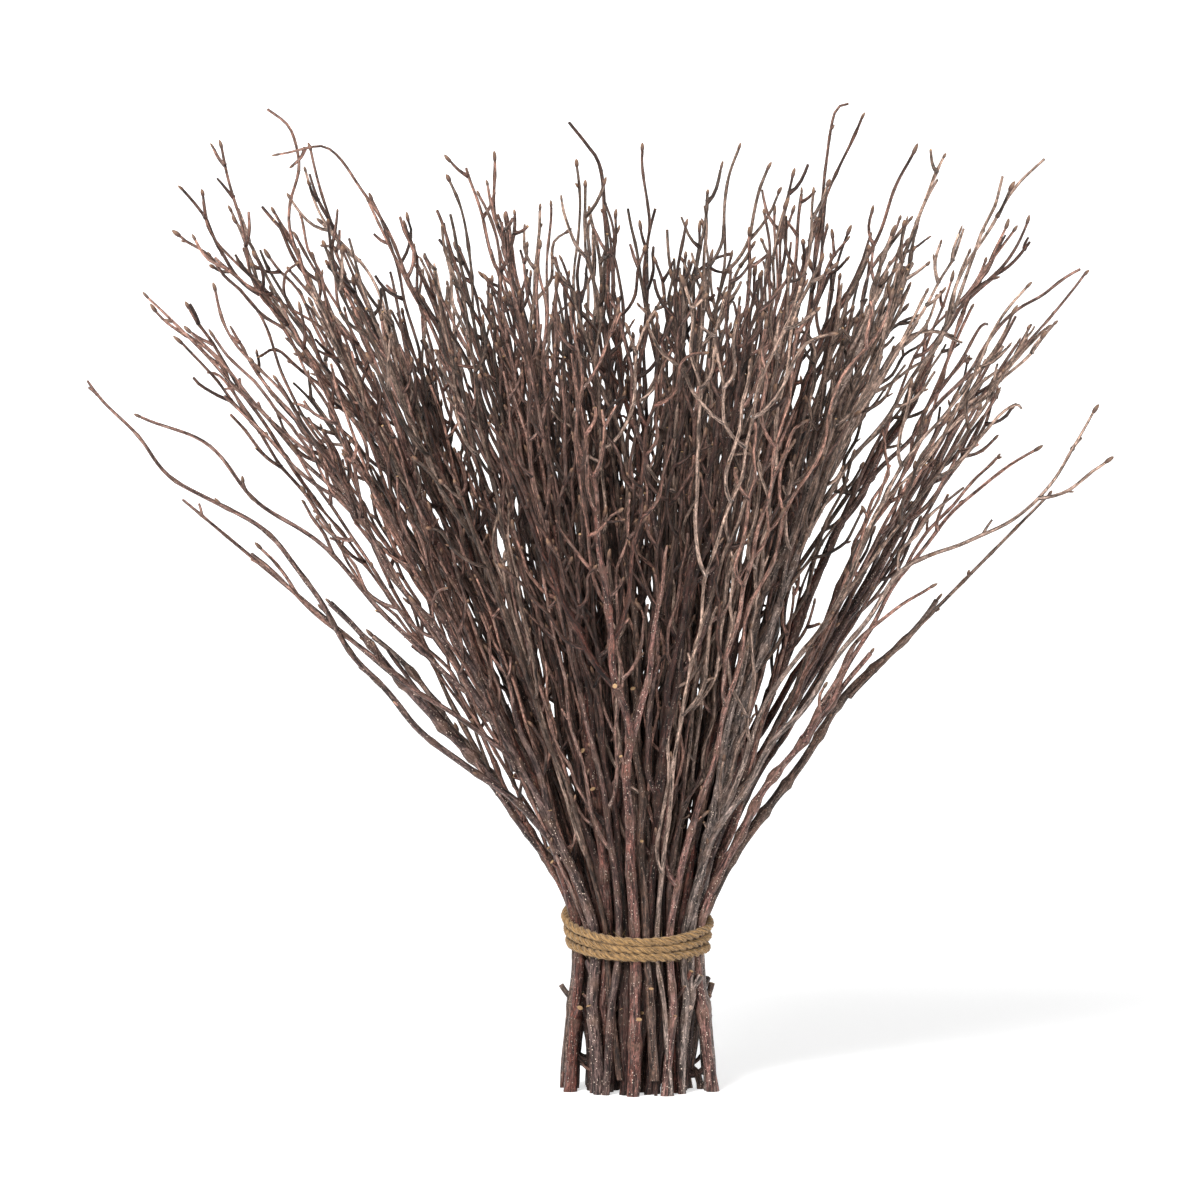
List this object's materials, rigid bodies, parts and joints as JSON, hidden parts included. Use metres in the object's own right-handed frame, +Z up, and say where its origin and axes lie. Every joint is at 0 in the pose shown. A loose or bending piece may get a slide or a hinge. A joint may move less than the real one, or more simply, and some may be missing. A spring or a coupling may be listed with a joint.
{
  "type": "bundle of twigs",
  "caption": "Fan-shaped bundle of cut birch twigs, tied round its neck with jute rope and standing upright on its cut ends.",
  "frame": {"origin": "on the floor, in the middle of the cut end of the bundle's middle twig", "axes": "+Z up along the bundle; the pictured front faces -Y; +X to the right seen from the front"},
  "size_m": [0.4307, 0.3576, 0.428],
  "materials": {
    "red_brown_bark": "smooth red-brown bark with pale pores",
    "dark_bark": "dark purple-brown bark with pale pores",
    "grey_brown_bark": "grey-brown bark with fine cracks",
    "jute_rope": "golden twisted jute"
  },
  "bodies": {
    "root": {"twig_01": "red_brown_bark", "twig_02": "dark_bark", "twig_03": "grey_brown_bark", "twig_04": "red_brown_bark", "twig_05": "dark_bark", "twig_06": "grey_brown_bark", "twig_07": "red_brown_bark", "twig_08": "dark_bark", "twig_09": "grey_brown_bark", "twig_10": "red_brown_bark", "twig_11": "dark_bark", "twig_12": "grey_brown_bark", "twig_13": "red_brown_bark", "twig_14": "dark_bark", "twig_15": "grey_brown_bark", "twig_16": "red_brown_bark", "twig_17": "dark_bark", "twig_18": "grey_brown_bark", "twig_19": "red_brown_bark", "twig_20": "dark_bark", "twig_21": "grey_brown_bark", "twig_22": "red_brown_bark", "twig_23": "dark_bark", "twig_24": "grey_brown_bark", "twig_25": "red_brown_bark", "twig_26": "dark_bark", "twig_27": "grey_brown_bark", "twig_28": "red_brown_bark", "twig_29": "dark_bark", "twig_30": "grey_brown_bark", "twig_31": "red_brown_bark", "twig_32": "dark_bark", "twig_33": "grey_brown_bark", "twig_34": "red_brown_bark", "twig_35": "dark_bark", "twig_36": "grey_brown_bark", "twig_37": "red_brown_bark", "twig_38": "dark_bark", "twig_39": "grey_brown_bark", "twig_40": "red_brown_bark", "twig_41": "dark_bark", "twig_42": "grey_brown_bark", "twig_43": "red_brown_bark", "twig_44": "dark_bark", "twig_45": "grey_brown_bark", "twig_46": "red_brown_bark", "twig_47": "dark_bark", "inner_twigs_01": "red_brown_bark", "inner_twigs_02": "dark_bark", "inner_twigs_03": "grey_brown_bark", "inner_twigs_04": "red_brown_bark", "inner_twigs_05": "dark_bark", "inner_twigs_06": "grey_brown_bark", "inner_twigs_07": "red_brown_bark", "inner_twigs_08": "dark_bark", "inner_twigs_09": "grey_brown_bark", "inner_twigs_10": "red_brown_bark", "inner_twigs_11": "dark_bark", "binding_rope": "jute_rope"}
  },
  "joints": []
}
